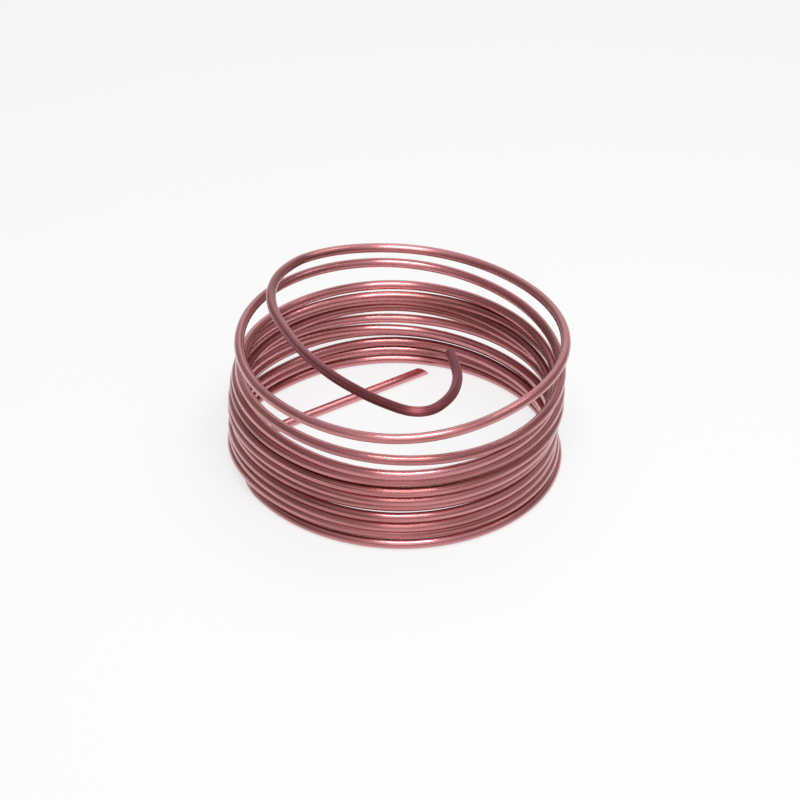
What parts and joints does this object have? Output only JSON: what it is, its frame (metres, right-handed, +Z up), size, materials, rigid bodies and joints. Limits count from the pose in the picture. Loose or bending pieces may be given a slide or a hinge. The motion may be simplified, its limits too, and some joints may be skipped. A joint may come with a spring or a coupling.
{
  "type": "copper tube coil",
  "caption": "Length of soft copper tube wound as an open coil, one straight end and one hooked end lying inside its eye, for water, gas or cooling lines.",
  "frame": {"origin": "on the floor, under the middle of the coil", "axes": "+Z up along the axis of the coil, -Y to the front, where the picture is taken from"},
  "size_m": [0.2758, 0.2766, 0.1261],
  "materials": {
    "copper": "satin"
  },
  "bodies": {
    "root": {"copper_tube": "copper"}
  },
  "joints": []
}
